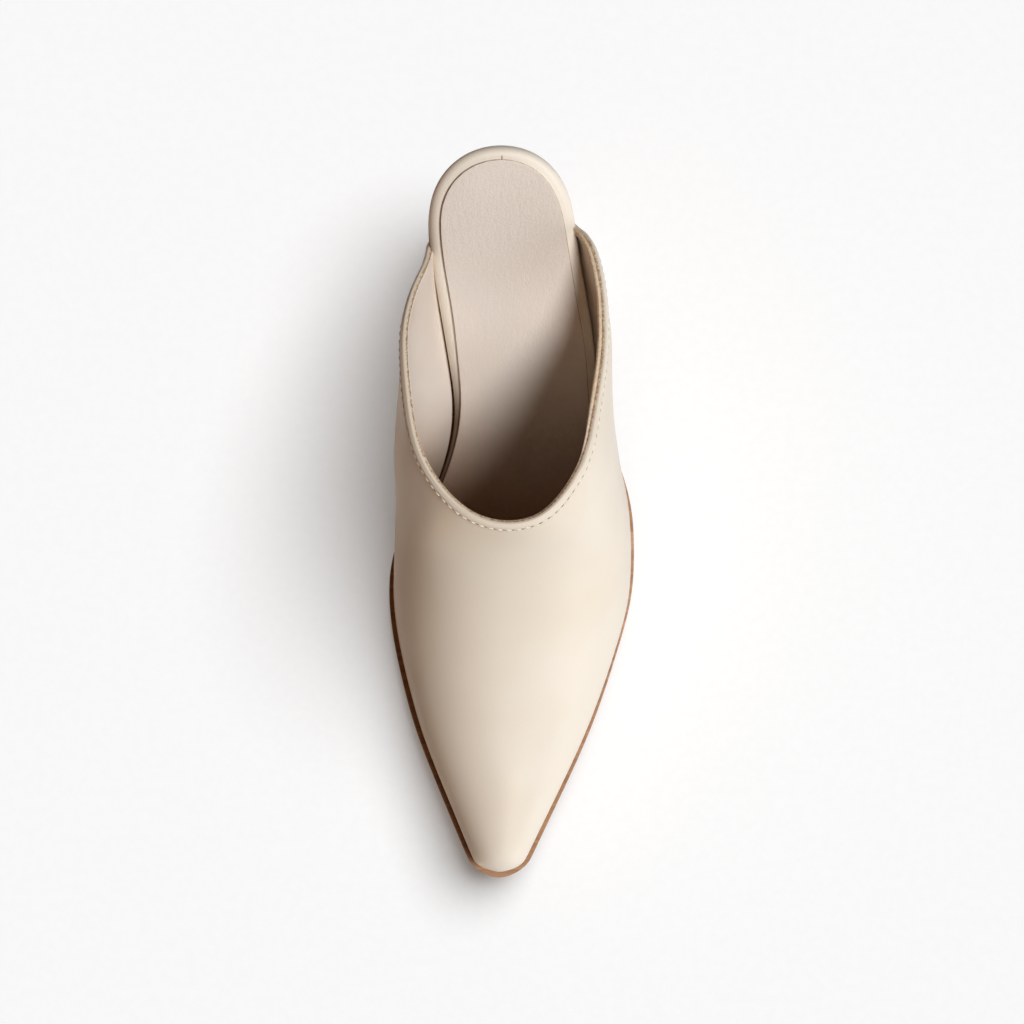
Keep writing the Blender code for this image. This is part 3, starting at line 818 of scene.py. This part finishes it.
def undersideTable():
    # heights of the outsole's underside along the shoe, with the distance travelled on it
    low = {}
    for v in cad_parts["outsole"].data.vertices:
        key = round(v.co.y, 5)
        low[key] = min(low.get(key, 1.0), v.co.z)
    rows, run, last = [], 0.0, None
    for y in sorted(low):
        here = Vector((0.0, y, low[y]))
        if last is not None:
            run += (here - last).length
        rows.append((y, low[y], run))
        last = here
    return rows


def readTable(rows, y):
    if y <= rows[0][0]:
        return rows[0][1:]
    for (y0, z0, r0), (y1, z1, r1) in zip(rows, rows[1:]):
        if y <= y1:
            t = (y - y0) / (y1 - y0)
            return z0 + (z1 - z0) * t, r0 + (r1 - r0) * t
    return rows[-1][1:]


def makeSolePlate(nodeName, pieceName, finish, rows):
    bm = mergedCopy(nodeName)
    crease(bm, 45)
    bm = smoothed(bm)
    softenEdges(bm, soleLook["edgeRound"], 2)
    rise, run, under = newLayers(bm, "rise", "run", "under")
    bm.normal_update()
    for v in bm.verts:
        z, travelled = readTable(rows, v.co.y)
        v[rise] = (v.co.z - z) / mm
        v[run] = travelled / mm
        v[under] = rising(soleLook["underside"], -v.normal.z)
    print(pieceName, len(bm.faces), "faces")
    finishPiece(bm, pieceName, finish, (nodeName,))


heelLook = {
    "layers": 340.0,  # to the metre
    "wander": 0.35,  # of a layer
    "jointEdge": (0.42, 0.5),  # of a layer from its middle
    "breastEdge": (-0.8, -0.95),  # how squarely a face looks at the toe
    "tan": rgb(172, 127, 86),
    "tanPale": rgb(199, 156, 112),
    "fibre": rgb(150, 104, 66),
    "pore": rgb(122, 82, 50),
    "joint": rgb(120, 80, 48),
    # painted shade on the heel's breast, the face toward the toe
    "breast": rgb(132, 96, 70),
    "edgeRound": 0.45 * mm,
    "edgeSteps": 3,
}


def heelStack():
    look = heelLook
    f = Finish("stacked heel", Roughness=0.45, Specular_IOR_Level=0.45, Coat_Weight=0.12,
               Coat_Roughness=0.35)
    height = f.node("SeparateXYZ", values={0: f.place}, output="Z")
    wander = f.noise(14.0, detail=2.0)
    layer = height * look["layers"] + wander * look["wander"]
    index = f.node("Math", {"operation": "FLOOR"}, {0: layer})
    tone = f.node("TexWhiteNoise", {"noise_dimensions": "1D"}, {"W": index})
    within = f.node("Math", {"operation": "FRACT"}, {0: layer})
    joint = f.spread(f.absolute(within - 0.5), *look["jointEdge"])
    fibre = f.noise(55.0, detail=6.0, rough=0.7, stretch=(1.0, 1.0, 22.0))
    pore = f.noise(150.0, detail=4.0, rough=0.65, stretch=(1.0, 1.0, 9.0))
    colour = f.blend(tone * 0.75, look["tan"], look["tanPale"])
    colour = f.blend(f.spread(fibre, 0.3, 0.72, (0.0, 0.55)), colour, look["fibre"])
    colour = f.blend(f.spread(pore, 0.5, 0.75, (0.0, 0.35)), colour, look["pore"])
    colour = f.blend(joint * 0.35, colour, look["joint"])
    # painted shade on the breast, chosen by which way a face looks
    front = f.node("SeparateXYZ", values={0: f.node("NewGeometry", output="Normal")}, output="Y")
    breast = f.spread(front, *look["breastEdge"])
    colour = f.blend(breast * 0.6, colour, look["breast"])
    relief = fibre * 0.05 + pore * 0.03 - joint * 0.05
    return f.wear(Base_Color=colour, Roughness=f.spread(fibre, 0.3, 0.7, (0.4, 0.54)),
                  Normal=f.bump(relief))


liftLook = {
    "brown": rgb(124, 95, 66),
    "brownPale": rgb(146, 114, 82),
    "speck": rgb(96, 70, 46),
    "edgeRound": 0.35 * mm,
    "edgeSteps": 2,
}


def liftRubber():
    look = liftLook
    f = Finish("top lift rubber", Roughness=0.6, Specular_IOR_Level=0.4)
    speck = f.noise(900.0, detail=3.0, rough=0.7)
    smear = f.noise(70.0, detail=4.0, stretch=(1.0, 1.0, 5.0))
    colour = f.blend(f.spread(smear, 0.3, 0.7), look["brown"], look["brownPale"])
    colour = f.blend(f.spread(speck, 0.5, 0.75, (0.0, 0.3)), colour, look["speck"])
    return f.wear(Base_Color=colour, Roughness=f.spread(speck, 0.3, 0.7, (0.52, 0.68)),
                  Normal=f.bump(speck * 0.03 + smear * 0.02))


def makeHeelBlock(nodeName, pieceName, finish, look):
    bm = mergedCopy(nodeName)
    crease(bm, 40)
    bm = smoothed(bm)
    softenEdges(bm, look["edgeRound"], look["edgeSteps"])
    print(pieceName, len(bm.faces), "faces")
    finishPiece(bm, pieceName, finish, (nodeName,))


studioLook = {
    "pixels": 1024,
    "sensor": 36.0,  # mm
    "focalPixels": 3565.0,
    "cameraPlace": (-0.0567, 0.0075, 1.25),
    "lookTo": (0.0457, -0.0037, -1.0),
    "lights": (  # where from, strength, angle across, colour, for the floor alone
        ((0.44, -0.16, 1.0), 2.62, 24.0, (0.975, 0.98, 1.0), False),
        ((0.90, -0.85, 0.16), 1.30, 44.0, (0.97, 0.98, 1.0), False),
        ((-1.0, 0.0, 0.35), 0.28, 40.0, (1.0, 0.46, 0.13), False),
        ((-0.40, 0.35, 1.0), 0.05, 40.0, (1.0, 0.92, 0.84), False),
        # these two stand for what the floor throws back
        ((-1.0, -1.5, -1.5), 0.52, 30.0, (1.0, 0.77, 0.54), False),
        ((1.0, 0.0, -0.7), 0.48, 30.0, (1.0, 0.97, 0.92), False),
        ((0.30, 0.40, 1.0), 3.36, 44.0, (0.981, 0.993, 1.0), True),
    ),
    "skyColour": (1.0, 0.54, 0.28, 1.0),
    "skyStrength": 0.018,
    "floorHalf": 3.0,
    "floorAt": -0.0002,
    "floorGlow": 0.182,
    "floorGlowColour": (1.0, 0.955, 0.92, 1.0),
    "floorPaper": (0.785, 0.79, 0.795),
    "floorPaperPale": (0.80, 0.805, 0.81),
}


def floorFinish():
    look = studioLook
    f = Finish("floor paper", Roughness=0.85, Specular_IOR_Level=0.15,
               Emission_Color=look["floorGlowColour"], Emission_Strength=look["floorGlow"])
    f.material.cycles.emission_sampling = "NONE"
    tooth = f.noise(300.0, detail=3.0)
    colour = f.blend(f.spread(tooth, 0.3, 0.7), look["floorPaper"], look["floorPaperPale"])
    return f.wear(Base_Color=colour, Roughness=f.spread(tooth, 0.3, 0.7, (0.82, 0.9)))


def makeFloor():
    look = studioLook
    bm = bmesh.new()
    bmesh.ops.create_grid(bm, x_segments=8, y_segments=8, size=look["floorHalf"])
    bmesh.ops.translate(bm, verts=bm.verts[:], vec=(0.0, 0.0, look["floorAt"]))
    mesh = bpy.data.meshes.new("floor")
    bm.to_mesh(mesh)
    bm.free()
    mesh.materials.append(floorFinish())
    floor = bpy.data.objects.new("floor", mesh)
    bpy.context.scene.collection.objects.link(floor)
    floor.visible_diffuse = False
    floor.visible_shadow = False  # or it would stop the two lamps that shine from below
    return floor


def makeCamera():
    look = studioLook
    camera = bpy.data.objects.new("camera", bpy.data.cameras.new("camera"))
    bpy.context.scene.collection.objects.link(camera)
    camera.location = look["cameraPlace"]
    back = -Vector(look["lookTo"]).normalized()
    right = Vector((0.0, 1.0, 0.0)).cross(back).normalized()
    camera.rotation_euler = Matrix((right, back.cross(right), back)).transposed().to_euler()
    camera.data.sensor_width = look["sensor"]
    camera.data.lens = look["focalPixels"] / look["pixels"] * look["sensor"]
    camera.data.clip_start = 0.01
    bpy.context.scene.camera = camera


def makeLights(floor):
    # one lamp shines on the floor alone, the others on the shoe alone
    look = studioLook
    reach = {}
    for alone in (True, False):
        reach[alone] = bpy.data.collections.new("floorAlone" if alone else "shoeAlone")
        reach[alone].objects.link(floor)
        linked = reach[alone].collection_objects[0].light_linking
        linked.link_state = "INCLUDE" if alone else "EXCLUDE"
    for i, (source, strength, across, colour, alone) in enumerate(look["lights"]):
        lamp = bpy.data.lights.new("softLight%d" % i, "SUN")
        lamp.energy = strength
        lamp.angle = math.radians(across)
        lamp.color = colour
        hung = bpy.data.objects.new(lamp.name, lamp)
        hung.rotation_euler = (-Vector(source)).to_track_quat("-Z", "Y").to_euler()
        bpy.context.scene.collection.objects.link(hung)
        hung.light_linking.receiver_collection = reach[alone]

    world = bpy.data.worlds.new("studio")
    world.use_nodes = True
    sky = world.node_tree.nodes["Background"]
    sky.inputs["Color"].default_value = look["skyColour"]
    sky.inputs["Strength"].default_value = look["skyStrength"]
    bpy.context.scene.world = world
    bpy.context.scene.view_settings.view_transform = "Standard"
    print("studio", len(look["lights"]), "lamps")


topline, outerSkin = surfaceOf(0)
makeLeather(topline, outerSkin)
makeLining(topline, outlineOf("insole"))
makeStitches(topline, outerSkin)
sockEdge = outlineOf("sock")
makeInsole(sockEdge)
makeSock(sockEdge)
undersides = undersideTable()
edgeFinish = soleEdge()
makeSolePlate("outsole", "leather_outsole", edgeFinish, undersides)
makeSolePlate("midsole", "forefoot_midsole", edgeFinish, undersides)
makeHeelBlock("heel", "stacked_heel", heelStack(), heelLook)
makeHeelBlock("top_lift", "heel_top_lift", liftRubber(), liftLook)
floor = makeFloor()
makeCamera()
makeLights(floor)
